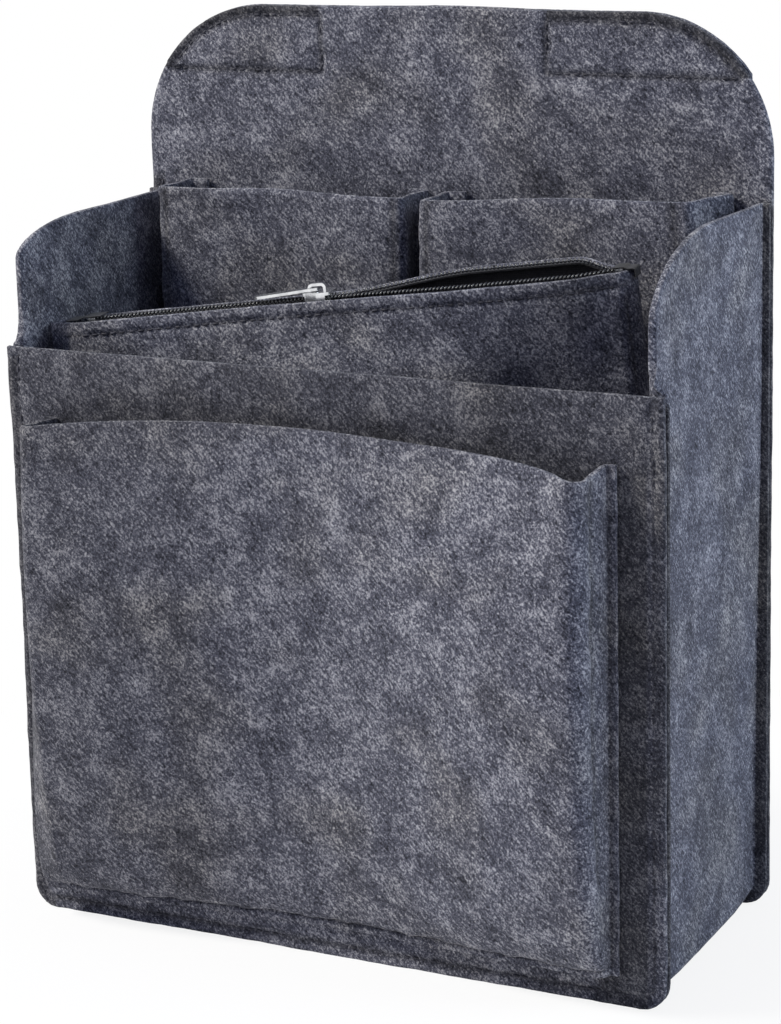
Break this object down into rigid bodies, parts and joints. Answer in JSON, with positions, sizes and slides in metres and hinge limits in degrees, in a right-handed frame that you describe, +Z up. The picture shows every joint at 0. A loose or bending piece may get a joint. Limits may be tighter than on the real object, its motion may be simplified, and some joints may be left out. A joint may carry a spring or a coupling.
{
  "type": "backpack organizer insert",
  "caption": "Felt organizer insert: open sewn box with a tall rounded back panel, bellows pockets front and back, a rear grab band and a loose pouch with a coil zip.",
  "frame": {"origin": "on the floor under the middle of the part's bounding box", "axes": "+Z up, the front panel faces -Y, +X to the right as seen from the front"},
  "size_m": [0.28, 0.1632, 0.36],
  "materials": {
    "felt": "mottled blue-grey needle felt",
    "zip_tape": "black woven tape",
    "zip_coil": "black nylon coil",
    "zip_metal": "bright nickel plate"
  },
  "bodies": {
    "shell": {"back_panel": "felt", "front_panel": "felt", "gusset_strip": "felt", "rear_grab_band": "felt", "front_pocket": "felt", "back_pocket_left": "felt", "back_pocket_right": "felt"},
    "pouch": {"pouch_front": "felt", "pouch_back": "felt", "zip_tape_front": "zip_tape", "zip_tape_back": "zip_tape", "zip_coil_front": "zip_coil", "zip_coil_back": "zip_coil", "zip_stop_bottom": "zip_metal", "zip_stop_top_front": "zip_metal", "zip_stop_top_back": "zip_metal"},
    "slider": {"slider_body": "zip_metal"},
    "pull": {"pull_tab": "zip_metal"}
  },
  "joints": [
    {"name": "pouch_lift", "type": "slide", "parent": "shell", "child": "pouch", "axis": [0, 0, 1], "range_m": [0, 0.29]},
    {"name": "zip_slide", "type": "slide", "parent": "pouch", "child": "slider", "axis": [0.9711, 0.2101, 0.1134], "range_m": [-0.083, 0.1115], "deforming": ["zip_tape_front", "zip_tape_back", "zip_coil_front", "zip_coil_back"]},
    {"name": "pull_flip", "type": "hinge", "parent": "slider", "child": "pull", "pos_m": [-0.02266, -0.01221, 0.25826], "axis": [-0.2114, 0.9774, 0], "range_deg": [0, 170]}
  ]
}
